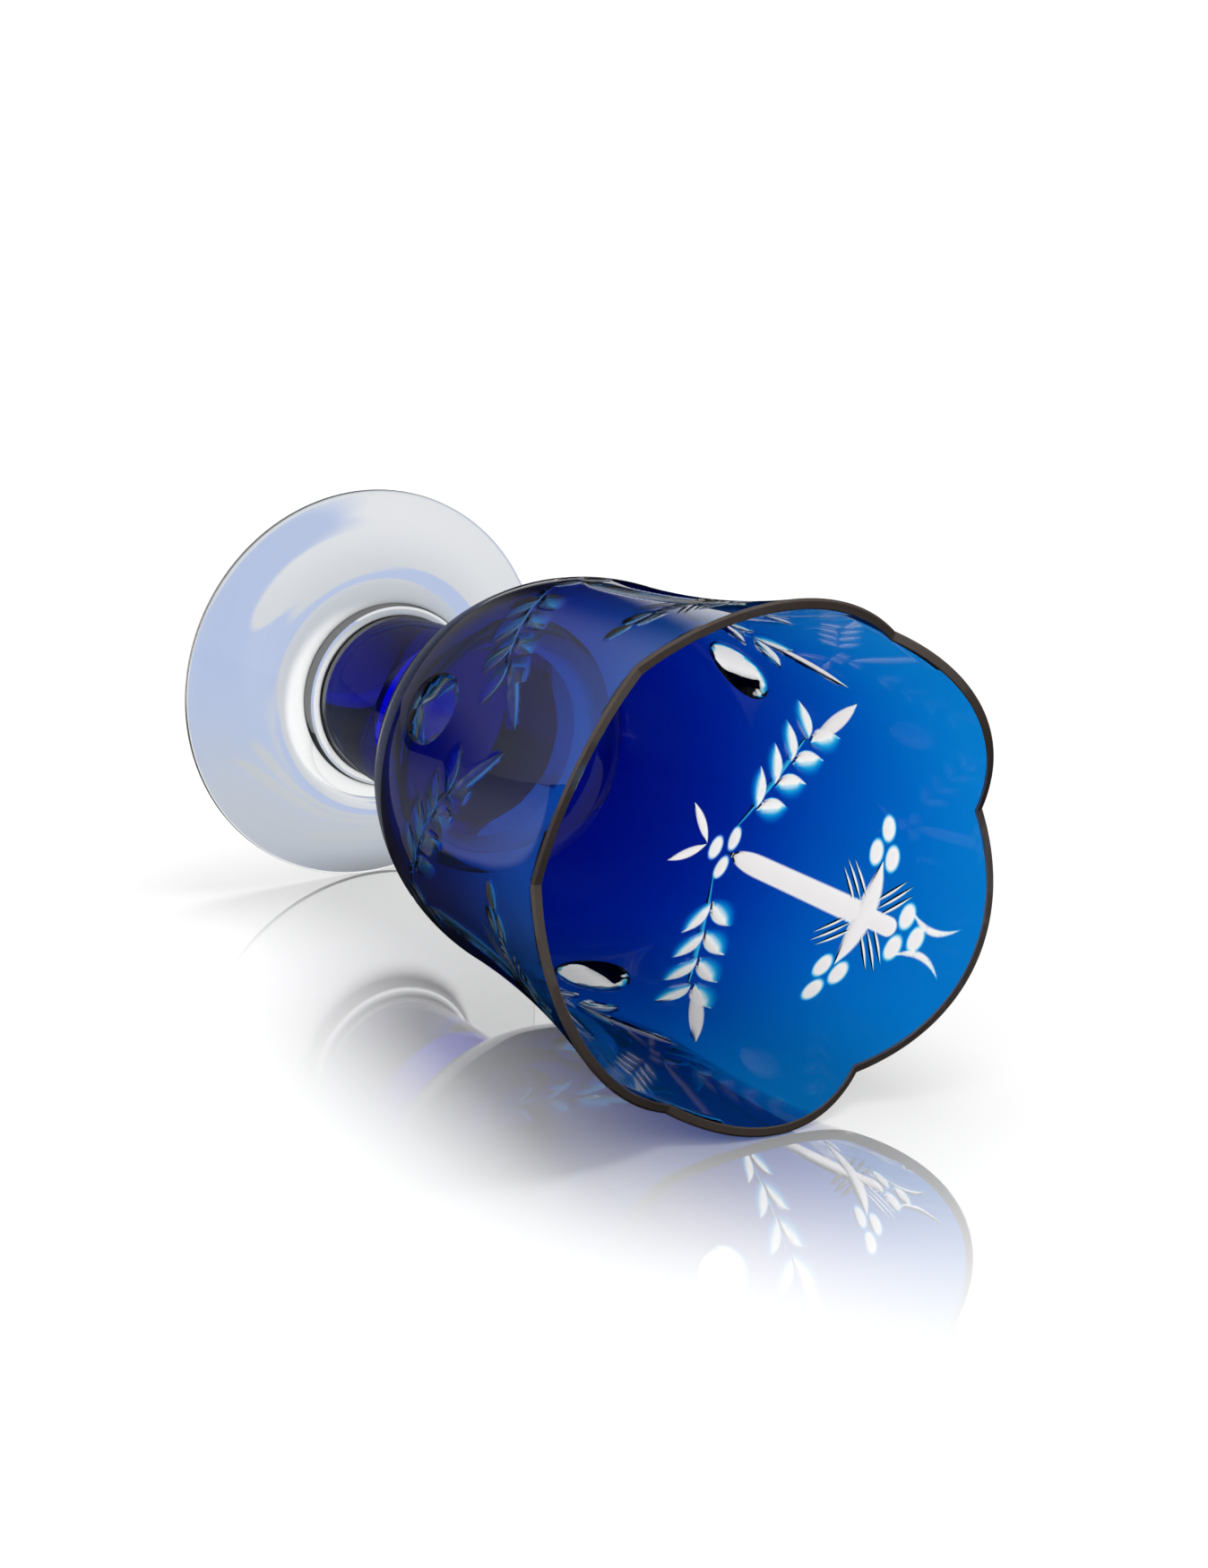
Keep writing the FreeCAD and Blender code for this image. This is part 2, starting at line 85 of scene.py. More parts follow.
def turned(profile, count):
    """Points and faces of a profile (distance from the axis, height) carried round the axis in count steps.
    The profile starts and ends on the axis and runs up the outside, so faces point outwards."""
    angle = np.linspace(0, 2 * math.pi, count, endpoint=False)
    ring = profile[1:-1]
    rings = np.stack([ring[:, :1] * np.cos(angle), ring[:, :1] * np.sin(angle),
                      np.repeat(ring[:, 1:], count, axis=1)], axis=2).reshape(-1, 3)
    points = np.concatenate([[[0, 0, profile[0, 1]]], rings, [[0, 0, profile[-1, 1]]]])
    here = np.arange(count)
    following = (here + 1) % count
    first = 1 + np.arange(len(ring) - 1)[:, None] * count
    quads = np.stack([first + here, first + following, first + count + following, first + count + here],
                     axis=2).reshape(-1, 4)
    last = 1 + (len(ring) - 1) * count
    bottom = np.stack([np.zeros(count, int), 1 + following, 1 + here], axis=1)
    top = np.stack([np.full(count, len(points) - 1), last + here, last + following], axis=1)
    return points, [*quads.tolist(), *bottom.tolist(), *top.tolist()]


def piece(name, points, faces, sharp_angle):
    """A mesh object from points in millimetres and faces, smooth but for arrises over the sharp angle."""
    mesh = bpy.data.meshes.new(name)
    mesh.from_pydata((np.asarray(points) * MM).tolist(), [], faces)
    mesh.validate()
    mesh.shade_smooth()
    mesh.set_sharp_from_angle(angle=math.radians(sharp_angle))
    made = bpy.data.objects.new(name, mesh)
    bpy.context.scene.collection.objects.link(made)
    return made


def node(tree, kind, place, **values):
    """A shader node at a place in its tree, with its properties set."""
    made = tree.nodes.new(kind)
    made.location = place
    for prop, value in values.items():
        setattr(made, prop, value)
    return made


def polish_group():
    """Shader group for hand polish: soft felt ripples as a height, and faint haze where cloths have rubbed."""
    group = bpy.data.node_groups.new("hand polish", "ShaderNodeTree")
    for name, kind, number in (("Ripple Size", "NodeSocketFloat", 60.0), ("Haze", "NodeSocketFloat", 0.02)):
        group.interface.new_socket(name, in_out="INPUT", socket_type=kind).default_value = number
    for name in ("Height", "Roughness"):
        group.interface.new_socket(name, in_out="OUTPUT", socket_type="NodeSocketFloat")
    given = node(group, "NodeGroupInput", (-600, 0))
    put = node(group, "NodeGroupOutput", (400, 0))
    where = node(group, "ShaderNodeTexCoord", (-600, 200))
    ripple = node(group, "ShaderNodeTexNoise", (-350, 200))
    ripple.inputs["Detail"].default_value = 1.5
    rub = node(group, "ShaderNodeTexNoise", (-350, -150))
    rub.inputs["Scale"].default_value = 900.0
    rub.inputs["Detail"].default_value = 3.0
    stretch = node(group, "ShaderNodeMapping", (-500, -300))
    stretch.inputs["Scale"].default_value = (1.0, 1.0, 0.25)
    spread = node(group, "ShaderNodeMapRange", (-100, -150))
    spread.inputs["From Min"].default_value = 0.5
    spread.inputs["From Max"].default_value = 0.8
    haze = node(group, "ShaderNodeMath", (150, -150), operation="MULTIPLY")
    link = group.links.new
    link(where.outputs["Object"], ripple.inputs["Vector"])
    link(given.outputs["Ripple Size"], ripple.inputs["Scale"])
    link(ripple.outputs["Fac"], put.inputs["Height"])
    link(where.outputs["Object"], stretch.inputs["Vector"])
    link(stretch.outputs["Vector"], rub.inputs["Vector"])
    link(rub.outputs["Fac"], spread.inputs["Value"])
    link(spread.outputs["Result"], haze.inputs[0])
    link(given.outputs["Haze"], haze.inputs[1])
    link(haze.outputs["Value"], put.inputs["Roughness"])
    return group


HAND_POLISH = polish_group()
CRYSTAL_IOR = 1.52


def glass(name, ripple_size, ripple_depth, haze):
    """Polished glass: full transmission, with the hand polish feeding its roughness and bump.
    Returns the material, its tree and its shader, for each piece to colour."""
    made = bpy.data.materials.new(name)
    made.use_nodes = True
    tree = made.node_tree
    shader = tree.nodes["Principled BSDF"]
    shader.inputs["Transmission Weight"].default_value = 1.0
    shader.inputs["IOR"].default_value = CRYSTAL_IOR
    polish = node(tree, "ShaderNodeGroup", (-500, -200), node_tree=HAND_POLISH)
    polish.inputs["Ripple Size"].default_value = ripple_size
    polish.inputs["Haze"].default_value = haze
    bump = node(tree, "ShaderNodeBump", (-250, -300))
    bump.inputs["Strength"].default_value = 1.0
    bump.inputs["Distance"].default_value = ripple_depth
    tree.links.new(polish.outputs["Height"], bump.inputs["Height"])
    tree.links.new(bump.outputs["Normal"], shader.inputs["Normal"])
    tree.links.new(polish.outputs["Roughness"], shader.inputs["Roughness"])
    return made, tree, shader


foot_low, foot_high = (np.array(corner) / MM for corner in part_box("foot"))
FOOT_TOP = foot_high[2]
FOOT_RADIUS = foot_high[0]
FOOT_EDGE = 1.8
FOOT_HOLLOW_RISE, FOOT_HOLLOW_RADIUS, FOOT_HOLLOW_ARC = 2.0, 50.0, 626.0
SHOULDER = (32.0, 10.0)
FOOT_DISH_ARC, FOOT_NECK_ARC = 120.0, 11.0
NECK_RADIUS, NECK_INSIDE = 26.2, 25.6
foot_outline = np.concatenate([
    arc((0, FOOT_HOLLOW_RISE), (FOOT_HOLLOW_RADIUS, 0), FOOT_HOLLOW_ARC, 1, 12),
    [[FOOT_RADIUS, 0]],
    arc((FOOT_RADIUS, FOOT_EDGE), SHOULDER, FOOT_DISH_ARC, 1, 28),
    arc(SHOULDER, (NECK_RADIUS, FOOT_TOP), FOOT_NECK_ARC, 1, 18)[1:],
    [[NECK_INSIDE, FOOT_TOP], [0, FOOT_TOP]],
])
foot = piece("foot_disc", *turned(eased(foot_outline, (12, 13), 0.8), 256), 35)
clear_crystal, clear_tree, clear_shader = glass("clear crystal", 55.0, 0.00002, 0.02)
# Painted shade: the base colour turns nearly black where the clear crystal is seen edge-on, a dark edge painted in
# for the dark surroundings that a clear rim refracts.
grazing = node(clear_tree, "ShaderNodeLayerWeight", (-900, 300))
grazing.inputs["Blend"].default_value = 0.5
outline = node(clear_tree, "ShaderNodeMapRange", (-700, 300), interpolation_type="SMOOTHSTEP")
outline.inputs["From Min"].default_value = 0.60
outline.inputs["From Max"].default_value = 0.95
painted_edge_shade = node(clear_tree, "ShaderNodeMix", (-450, 300), data_type="RGBA")
painted_edge_shade.inputs["A"].default_value = (0.985, 0.99, 0.995, 1)
painted_edge_shade.inputs["B"].default_value = (0.04, 0.042, 0.05, 1)
clear_tree.links.new(grazing.outputs["Facing"], outline.inputs["Value"])
clear_tree.links.new(outline.outputs["Result"], painted_edge_shade.inputs["Factor"])
clear_tree.links.new(painted_edge_shade.outputs["Result"], clear_shader.inputs["Base Color"])
foot.data.materials.append(clear_crystal)
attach(foot, "root")
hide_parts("foot")

# ---------------------------------------------------------------- collar
# A low clear ring with a rounded side, fused between the foot and the stem while hot.
# The fused seam under it shows as one fine dark line.

collar_low, collar_high = (np.array(corner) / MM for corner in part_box("collar"))
SEAM = 0.03
STEM_FOOT_RADIUS = 23.7
COLLAR_ROUND = 4.5
collar_outline = np.concatenate([
    [[0, collar_low[2] + SEAM]],
    arc((collar_high[0], collar_low[2] + SEAM), (STEM_FOOT_RADIUS, collar_high[2]), COLLAR_ROUND, 1, 14),
    [[0, collar_high[2]]],
])
collar = piece("collar_ring", *turned(collar_outline, 256), 35)
collar.data.materials.append(clear_crystal)
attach(collar, "root")
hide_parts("collar")

# ---------------------------------------------------------------- stem
# A short thick barrel of solid cobalt glass, coloured right through, with a very slight swell.

stem_low, stem_high = (np.array(corner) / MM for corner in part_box("stem"))
STEM_TOP = stem_high[2]
STEM_RADIUS, STEM_SWELL_ARC = 24.0, 320.0
stem_outline = np.concatenate([
    [[0, stem_low[2] + SEAM]],
    arc((STEM_FOOT_RADIUS, stem_low[2] + SEAM), (STEM_RADIUS, STEM_TOP - SEAM), STEM_SWELL_ARC, -1, 40),
    [[0, STEM_TOP - SEAM]],
])
stem = piece("stem_barrel", *turned(stem_outline, 256), 35)
cobalt_solid, stem_tree, stem_shader = glass("cobalt glass, solid", 40.0, 0.00003, 0.02)
stem_shader.inputs["Base Color"].default_value = (0.97, 0.98, 1.0, 1)
colour_through = node(stem_tree, "ShaderNodeVolumeAbsorption", (0, -500))
colour_through.inputs["Color"].default_value = (0.0, 0.50, 0.985, 1)
colour_through.inputs["Density"].default_value = 230.0
stem_tree.links.new(colour_through.outputs["Volume"], stem_tree.nodes["Material Output"].inputs["Volume"])
stem.data.materials.append(cobalt_solid)
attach(stem, "root")
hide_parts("stem")

# ---------------------------------------------------------------- bowl
# A blown bowl of clear crystal under a thin cobalt skin, ground to six lobes at the mouth.  The pattern
# is cut through the skin with stone wheels: rounded wheels leave olives and flutes, mitre wheels leave
# leaves, and every cut thins the skin before it breaks through, so each one has a pale blue border.

HEIGHT = 222.0
MOUTH_RADIUS = 66.0
BELLY_ARC, BELLY_Z = 70.0, 129.5
FLARE_ARC, WAIST_Z = 440.0, 117.0
WALL = 2.6
BOWL_FLOOR = 10.0
FLOOR_ROUND = 12.0
SCALLOP = 8.0
FLARE_X = MOUTH_RADIUS + math.sqrt(FLARE_ARC ** 2 - (HEIGHT - WAIST_Z) ** 2)
BELLY_X = FLARE_X - math.sqrt((BELLY_ARC + FLARE_ARC) ** 2 - (BELLY_Z - WAIST_Z) ** 2)


def wall_radius(height, inset=0.0):
    """Distance of the wall from the axis at a height, an inset inside its outside: below the point where
    the two arcs touch it is the round belly, above it the long hollow flare."""
    join = BELLY_Z + (WAIST_Z - BELLY_Z) * (BELLY_ARC - inset) / (BELLY_ARC + FLARE_ARC)
    flare = FLARE_X - np.sqrt((FLARE_ARC + inset) ** 2 - (height - WAIST_Z) ** 2)
    belly = BELLY_X + np.sqrt(np.maximum((BELLY_ARC - inset) ** 2 - (height - BELLY_Z) ** 2, 0))
    return np.where(height > join, flare, belly)


def wall_normal(height):
    """Outward direction of the wall at a height, as (away from the axis, up): it lies along the line
    from the belly's centre, or towards the flare's centre."""
    join = BELLY_Z + (WAIST_Z - BELLY_Z) * BELLY_ARC / (BELLY_ARC + FLARE_ARC)
    radius = wall_radius(height)
    away = np.where(height > join, FLARE_X - radius, radius - BELLY_X)
    up = np.where(height > join, WAIST_Z - height, height - BELLY_Z)
    length = np.hypot(away, up)
    return away / length, up / length


SECTOR = math.radians(60)
FLOWER_LOBE = math.radians(34.4)
NOTCH_RADIUS = float(wall_radius(np.array(HEIGHT - SCALLOP)))


def mouth_height(azimuth, radius):
    """Height of the ground mouth over a place: each lobe is a round arc across the mouth, highest at the
    lobe's middle, and two lobes meet in a notch."""
    away = np.abs((azimuth + SECTOR) % (2 * SECTOR) - SECTOR)
    over_flower = away <= FLOWER_LOBE
    half = np.where(over_flower, FLOWER_LOBE, SECTOR - FLOWER_LOBE)
    turn = np.where(over_flower, away, SECTOR - away)
    chord = NOTCH_RADIUS * np.sin(half)
    wheel = (chord ** 2 + SCALLOP ** 2) / (2 * SCALLOP)
    return HEIGHT - wheel + np.sqrt(wheel ** 2 - (np.minimum(radius, NOTCH_RADIUS * 1.04) * np.sin(turn)) ** 2)


# Each cut is (wheel, (millimetres round the wall from the flower's middle, height), lean in degrees,
# length, width, depth, bow).  One half of one flower, and half the oval beside it, make a sixth of the bowl.
NODE_Z, FLOWER_Z, KNOT_Z, OVAL_Z = 124.0, 184.0, 199.0, 131.5
BUD = (8.6, 5.7, 0.34, 0.0)
cuts = [
    ("flute", (0.0, 156.5), 90, 55.0, 6.8, 0.42, 0.0),
    ("flute", (0.0, 189.85), 90, 11.7, 5.6, 0.36, 0.0),
    ("long olive", (0.0, FLOWER_Z), 0, 31.0, 7.2, 0.52, 0.0),
    ("olive", (0.0, NODE_Z - 2.9), 0, *BUD),
    ("olive", (0.0, KNOT_Z + 3.6), 0, *BUD),
    ("olive", (4.4, NODE_Z + 2.9), 0, *BUD),
    ("olive", (4.4, KNOT_Z - 1.7), 0, *BUD),
    ("olive", (16.6, FLOWER_Z - 2.9), 0, *BUD),
    ("olive", (16.6, FLOWER_Z + 2.9), 0, *BUD),
    ("olive", (23.8, FLOWER_Z), 0, *BUD),
    ("long olive", (4.7, 112.5), 314, 13.5, 3.0, 0.30, 0.0),
    ("mitre", (7.6, 206.0), 90, 18.0, 2.3, 0.30, 4.2),
    ("spray", (23.2, 139.0), 40.0, 41.5, 2.0, 0.22, -1.3),
]
for level in (-1, 1):
    for ray in (-1, 0, 1):
        away = 10.5 - 1.2 * abs(ray)
        place = ((away - level * ray * 2.1) * math.sqrt(0.5),
                 FLOWER_Z + (level * away + ray * 2.1) * math.sqrt(0.5))
        cuts.append(("mitre", place, 45.0 * level, 14.5, 1.3, 0.32, 0.0))
SPRAY_LEAN = 40.0
for share in np.linspace(0.16, 0.98, 4):
    root = (8.2 + 31.0 * share, 127.5 + 26.0 * (0.78 * share + 0.22 * share ** 2))
    for side, length, open_by in ((-1, 13.0, 38.0), (1, 14.6, 33.0)):
        lean = SPRAY_LEAN + side * open_by
        out = 0.6 + length / 2
        place = (root[0] + out * math.cos(math.radians(lean)), root[1] + out * math.sin(math.radians(lean)))
        cuts.append(("leaf" if side > 0 else "leaf below", place, lean, length, 7.8, 0.36, 0.0))
tip = math.radians(SPRAY_LEAN + 16.0)
tip_leaf = (39.2 + 15.7 * math.cos(tip), 153.5 + 15.7 * math.sin(tip))
cuts.append(("long olive", tip_leaf, SPRAY_LEAN + 16.0, 30.0, 4.2, 0.34, 0.0))
OVAL_ROUND = SECTOR * float(wall_radius(np.array(OVAL_Z)))
cuts.append(("oval", (OVAL_ROUND, OVAL_Z), 90, 23.5, 19.5, 1.75, 0.0))


def cut_place(cut):
    """Where a cut lies: how far round the wall, how high, the wall's radius there, and its lean in radians."""
    _, (around, height), lean, *_ = cut
    return around, height, float(wall_radius(np.array(height))), math.radians(lean)


TAIL = 12.0
LONG_FLUTE = 20.0


def cut_shape(cut, azimuth, height):
    """How deep a cut goes at each place, and how much of the colour skin it takes.  A mitre wheel leaves a
    depth that falls evenly from the middle line to the two arcs of its outline, a rounded wheel one that
    falls by the square, and a leaf is cut with its wheel leaned over, crisp on the side of the spray
    stem and dying out on the other.  The oval is two broad facets that meet in a ridge along it."""
    wheel, _, _, length, width, depth, bow = cut
    around, up, radius, lean = cut_place(cut)
    x, y = azimuth * radius - around, height - up
    along = x * math.cos(lean) + y * math.sin(lean)
    across = y * math.cos(lean) - x * math.sin(lean)
    run = 2 * along / length
    taper = 1 - run ** 2
    across = across - bow * taper
    side = 2 * across / width
    if wheel == "mitre":
        share = taper - np.abs(side)
        return depth * share, 2.6 * share
    if wheel == "spray":
        share = np.where(taper > 0, 1 - np.abs(side) / np.maximum(taper, 1e-6) ** 0.5, -1.0)
        return depth * share, np.minimum(1.9 * share, 0.74)
    if wheel == "olive":
        share = 1 - run ** 2 - side ** 2
        return depth * share, 2.1 * share
    if wheel == "long olive":
        share = (1 - (side / np.maximum(taper, 1e-6)) ** 2) * np.maximum(taper, 0) ** 0.5
        share = np.where(taper > 0, share, -1.0)
        return depth * share, 3.2 * share
    if wheel == "oval":
        edge = 1 - run ** 2 - side ** 2
        return np.minimum(depth * (1 - 0.85 * np.abs(side)), 3.4 * depth * edge), 5.5 * edge
    if wheel == "flute":
        past = np.maximum(np.abs(along) - (length - width) / 2, 0)
        lower = np.clip((along + length / 2) / TAIL, 0.001, 1)
        half = width / 2 * (np.sqrt(lower * (2 - lower)) if length > LONG_FLUTE else 1.0)
        past = np.where((along < 0) & (length > LONG_FLUTE), 0, past)
        share = 1 - (past * 2 / width) ** 2 - (across / half) ** 2
        share = np.where(np.abs(along) > length / 2, -1.0, share)
        return depth * share, 4.2 * share
    crisp = -1 if wheel == "leaf" else 1
    share = side * crisp / np.maximum(taper, 1e-6)
    rise = np.where(share > 0.62, (1 - share) / 0.38, 1 - (np.maximum(0.62 - share, 0) / 1.62) ** 1.5)
    taken = np.where(share > 0.62, 9.0 * (1 - share), 1.55 * (1 - np.maximum(0.62 - share, 0) / 1.62))
    taper = np.maximum(taper, 0)
    return np.where(taper > 0, depth * taper ** 0.6 * rise, -1.0), np.where(taper > 0, taken * taper ** 0.7, -1.0)


def cut_depth(cut, azimuth, height):
    """Only the depth of a cut."""
    return cut_shape(cut, azimuth, height)[0]


def cut_lines(cut):
    """Lines along a cut, as lists of places on the flat sheet: its outline, its arris and rings between,
    so that the mesh follows every edge.  Lines marked True are kept as edges."""
    wheel, _, _, length, width, _, bow = cut
    around, up, radius, lean = cut_place(cut)
    steps = max(9, int(length / 0.95))
    run = -np.cos(np.linspace(0, math.pi, steps))
    taper = np.sqrt(1 - run ** 2) if wheel in ("oval", "spray") else 1 - run ** 2
    lines = []
    if wheel in ("olive", "flute"):
        turn = np.linspace(0, 2 * math.pi, 21)
        for share in (1.0, 0.84, 0.64, 0.38):
            if wheel == "olive":
                ring = np.stack([share * length / 2 * np.cos(turn), share * width / 2 * np.sin(turn)], axis=1)
            else:
                quarter = np.linspace(0, math.pi / 2, 9)
                straight = (length - width) / 2
                half = share * width / 2
                cap = np.stack([straight + half * np.cos(quarter), half * np.sin(quarter)], axis=1)
                tail = min(TAIL, length / 2) if length > LONG_FLUTE else half
                start = -length / 2 + tail if length > LONG_FLUTE else -straight
                end = np.stack([start - tail * np.sin(quarter), half * np.cos(quarter)], axis=1)
                side = np.linspace(straight, start, max(3, int(length / 1.6)))[1:-1]
                edge = np.stack([side, np.full(len(side), half)], axis=1)
                upper = np.concatenate([cap, edge, end])
                ring = np.concatenate([upper, upper[::-1][1:] * [1, -1]])
            lines.append((ring, share == 1.0))
        if wheel == "flute":
            middle = np.linspace(-1, 1, max(3, int(length / 1.6))) * (length - width) / 2
            lines.append((np.stack([middle, 0 * middle], axis=1), False))
    else:
        arris = {"leaf": -0.62, "leaf below": 0.62}.get(wheel, 0.0)
        shares = {"oval": (1, 0.94, 0.86, 0.6, 0.3), "spray": (1,)}.get(wheel, (1, 0.75, 0.5, 0.25))
        if width < 2.5:
            shares = (1, 0.55)
        levels = sorted({arris + share * (end - arris) for end in (-1, 1) for share in shares} | {arris})
        for level in levels:
            across = level * width / 2 * taper + bow * (1 - run ** 2)
            lines.append((np.stack([run * length / 2, across], axis=1), abs(level) == 1 or level == arris))
    placed = []
    for line, kept in lines:
        x = line[:, 0] * math.cos(lean) - line[:, 1] * math.sin(lean)
        y = line[:, 0] * math.sin(lean) + line[:, 1] * math.cos(lean)
        placed.append((np.stack([(around + x) / radius, up + y], axis=1), kept))
    return placed


def trimmed(line, limit, keep_above):
    """A line with the part past a limit of azimuth taken off, and a point put where it crosses."""
    gap = (line[:, 0] - limit) * (1 if keep_above else -1)
    crossing = np.nonzero(gap[:-1] * gap[1:] < 0)[0]
    share = gap[crossing] / (gap[crossing] - gap[crossing + 1])
    extra = line[crossing] + share[:, None] * (line[crossing + 1] - line[crossing])
    extra[:, 0] = limit
    order = np.argsort(np.concatenate([np.arange(len(line)), crossing + share]), kind="stable")
    merged = np.concatenate([line, extra])[order]
    inside = np.concatenate([gap >= 0, np.ones(len(crossing), bool)])[order]
    return merged, inside


SHEET_RADIUS = 52.0
SEAT_Z = STEM_TOP
EDGE_BEVEL = 0.6
INNER_BEVEL = 0.25
stations = np.concatenate([np.linspace(0, FLOWER_LOBE, 35), np.linspace(FLOWER_LOBE, SECTOR, 27)[1:]])
rim_radius = wall_radius(np.full(len(stations), HEIGHT - SCALLOP / 3))
for _ in range(6):
    rim_radius = wall_radius(mouth_height(stations, rim_radius) - EDGE_BEVEL)
rim_line = np.stack([stations, mouth_height(stations, rim_radius) - EDGE_BEVEL], axis=1)


def laid_out():
    """The sixth of the bowl's outside as points (azimuth, height) and triangles: the cuts' own lines, and
    a staggered field of points between them, joined by a constrained Delaunay triangulation."""
    points, edges = [], []
    total = 0

    def put(line, inside, kept):
        nonlocal total
        number = np.cumsum(inside) - 1 + total
        joined = np.nonzero(inside[:-1] & inside[1:])[0]
        if kept:
            edges.append(np.stack([number[joined], number[joined + 1]], axis=1))
        points.append(line[inside])
        total += int(inside.sum())

    put(rim_line, np.ones(len(rim_line), bool), True)
    heights = [SEAT_Z]
    while heights[-1] < HEIGHT - 1.0:
        _, up = wall_normal(np.array(heights[-1]))
        heights.append(heights[-1] + 1.35 * math.sqrt(max(1 - float(up) ** 2, 0.05)))
    heights = np.array(heights)
    put(np.stack([stations, np.full(len(stations), SEAT_Z)], axis=1), np.ones(len(stations), bool), True)
    rows = []
    for number, height in enumerate(heights[1:]):
        row = np.concatenate([[0.0], (np.arange(1, 48) + (0.5 if number % 2 else 0.0)) * SECTOR / 48, [SECTOR]])
        rows.append(np.stack([row[row <= SECTOR], np.full((row <= SECTOR).sum(), height)], axis=1))
    field = np.concatenate(rows)
    clear = field[:, 1] < np.interp(field[:, 0], rim_line[:, 0], rim_line[:, 1]) - 0.7
    for cut in cuts:
        depth = cut_depth(cut, field[:, 0], field[:, 1])
        near = np.full(len(field), -9.0)
        for shift_x, shift_y in ((0.45, 0), (-0.45, 0), (0, 0.45), (0, -0.45)):
            near = np.maximum(near, cut_depth(cut, field[:, 0] + shift_x / SHEET_RADIUS, field[:, 1] + shift_y))
        clear &= np.maximum(depth, near) < 0
    field = field[clear]
    put(field, np.ones(len(field), bool), False)
    for cut in cuts:
        for line, kept in cut_lines(cut):
            first, inside = trimmed(line, 0.0, True)
            if not inside.any():
                continue
            second, still = trimmed(first, SECTOR, False)
            within = second[:, 0] >= -1e-9
            put(second, still & within, kept)
    flat = np.concatenate(points)
    flat = flat * [SHEET_RADIUS, 1.0]
    joined = np.concatenate(edges)
    joined = joined[np.hypot(*(flat[joined[:, 0]] - flat[joined[:, 1]]).T) > 1e-4]
    made, _, faces, *_ = delaunay_2d_cdt([Vector(p) for p in flat], joined.tolist(), [], 0, 1e-4, False)
    made = np.array([tuple(p) for p in made]) / [SHEET_RADIUS, 1.0]
    faces = np.array([face for face in faces if len(face) == 3])
    made[np.abs(made[:, 0]) < 1e-5, 0] = 0.0
    made[np.abs(made[:, 0] - SECTOR) < 1e-5, 0] = SECTOR
    middle = made[faces].mean(axis=1)
    faces = faces[middle[:, 1] < np.interp(middle[:, 0], rim_line[:, 0], rim_line[:, 1]) - 1e-4]
    one, two = made[faces[:, 1]] - made[faces[:, 0]], made[faces[:, 2]] - made[faces[:, 0]]
    area = one[:, 0] * two[:, 1] - one[:, 1] * two[:, 0]
    faces[area < 0] = faces[area < 0][:, ::-1]
    return made, faces[np.abs(area) > 1e-9]


def skin_left(azimuth, height, taken):
    """Thickness of cobalt skin left over the crystal, where one is its thickness near the stem: it was
    drawn thinner towards the lip as the bowl was blown, and the wheels have taken their share."""
    full = 0.35 + 0.65 * ((HEIGHT - height) / 112.0) ** 1.8 + 0.012 * np.sin(3 * azimuth + 0.06 * height)
    return full * np.clip(1 - taken, 0, 1)


flat, flat_faces = laid_out()
shapes = np.array([cut_shape(cut, flat[:, 0], flat[:, 1]) for cut in cuts])
depth = np.maximum(shapes[:, 0].max(axis=0), 0)
taken = np.maximum(shapes[:, 1].max(axis=0), 0)
# The stone leaves a fine matt in every cut but the oval, which comes last in the list and is polished.
frosted = np.where(shapes[-1, 1] > 0, 0, taken)
away, up = wall_normal(flat[:, 1])
sixth_radius = wall_radius(flat[:, 1]) - depth * away
sixth_height = flat[:, 1] - depth * up
outside, outside_faces, outside_skin, outside_cut = [], [], [], []
FIRST_FLOWER = math.radians(-90)
for flower in range(3):
    for mirror in (1, -1):
        azimuth = FIRST_FLOWER + flower * 2 * SECTOR + mirror * flat[:, 0]
        outside_faces.append((flat_faces if mirror > 0 else flat_faces[:, ::-1]) + sum(map(len, outside)))
        outside.append(np.stack([sixth_radius * np.cos(azimuth), sixth_radius * np.sin(azimuth), sixth_height],
                                axis=1))
        outside_skin.append(skin_left(azimuth, flat[:, 1], taken))
        outside_cut.append(np.clip((frosted - 0.9) / 0.6, 0, 1))

around_mouth = np.concatenate([np.concatenate([FIRST_FLOWER + flower * 2 * SECTOR + stations[:-1],
                                               FIRST_FLOWER + (flower + 1) * 2 * SECTOR - stations[::-1][:-1]])
                               for flower in range(3)])
lip_radius = wall_radius(np.full(len(around_mouth), HEIGHT - SCALLOP / 3))
for _ in range(6):
    lip_radius = wall_radius(mouth_height(around_mouth - FIRST_FLOWER, lip_radius) - EDGE_BEVEL)
lip_height = mouth_height(around_mouth - FIRST_FLOWER, lip_radius)
inner_lip = wall_radius(lip_height, WALL)


def ring_points(radius, height):
    """A ring of points over the mouth's stations, at a distance from the axis and a height for each."""
    return np.stack([radius * np.cos(around_mouth), radius * np.sin(around_mouth), height + 0 * radius], axis=1)


rings = [ring_points(lip_radius, lip_height - EDGE_BEVEL)]
for share in np.linspace(0, 1, 5):
    radius = lip_radius - EDGE_BEVEL + share * (inner_lip - lip_radius + EDGE_BEVEL + INNER_BEVEL)
    rings.append(ring_points(radius, mouth_height(around_mouth - FIRST_FLOWER, radius)))
INSIDE_FLOOR = SEAT_Z + BOWL_FLOOR
ROUND_Z = INSIDE_FLOOR + FLOOR_ROUND
round_x = BELLY_X + math.sqrt((BELLY_ARC - WALL - FLOOR_ROUND) ** 2 - (ROUND_Z - BELLY_Z) ** 2)
reach = (BELLY_ARC - WALL) / (BELLY_ARC - WALL - FLOOR_ROUND)
touch = (BELLY_X + (round_x - BELLY_X) * reach, BELLY_Z + (ROUND_Z - BELLY_Z) * reach)
inner_top = lip_height - INNER_BEVEL
for share in 1 - np.linspace(0, 1, 56) ** 0.9:
    height = touch[1] + share * (inner_top - touch[1])
    rings.append(ring_points(wall_radius(height, WALL), height))
for radius, height in arc(touch, (round_x, INSIDE_FLOOR), FLOOR_ROUND, -1, 12)[1:]:
    rings.append(ring_points(np.full(len(around_mouth), radius), height))
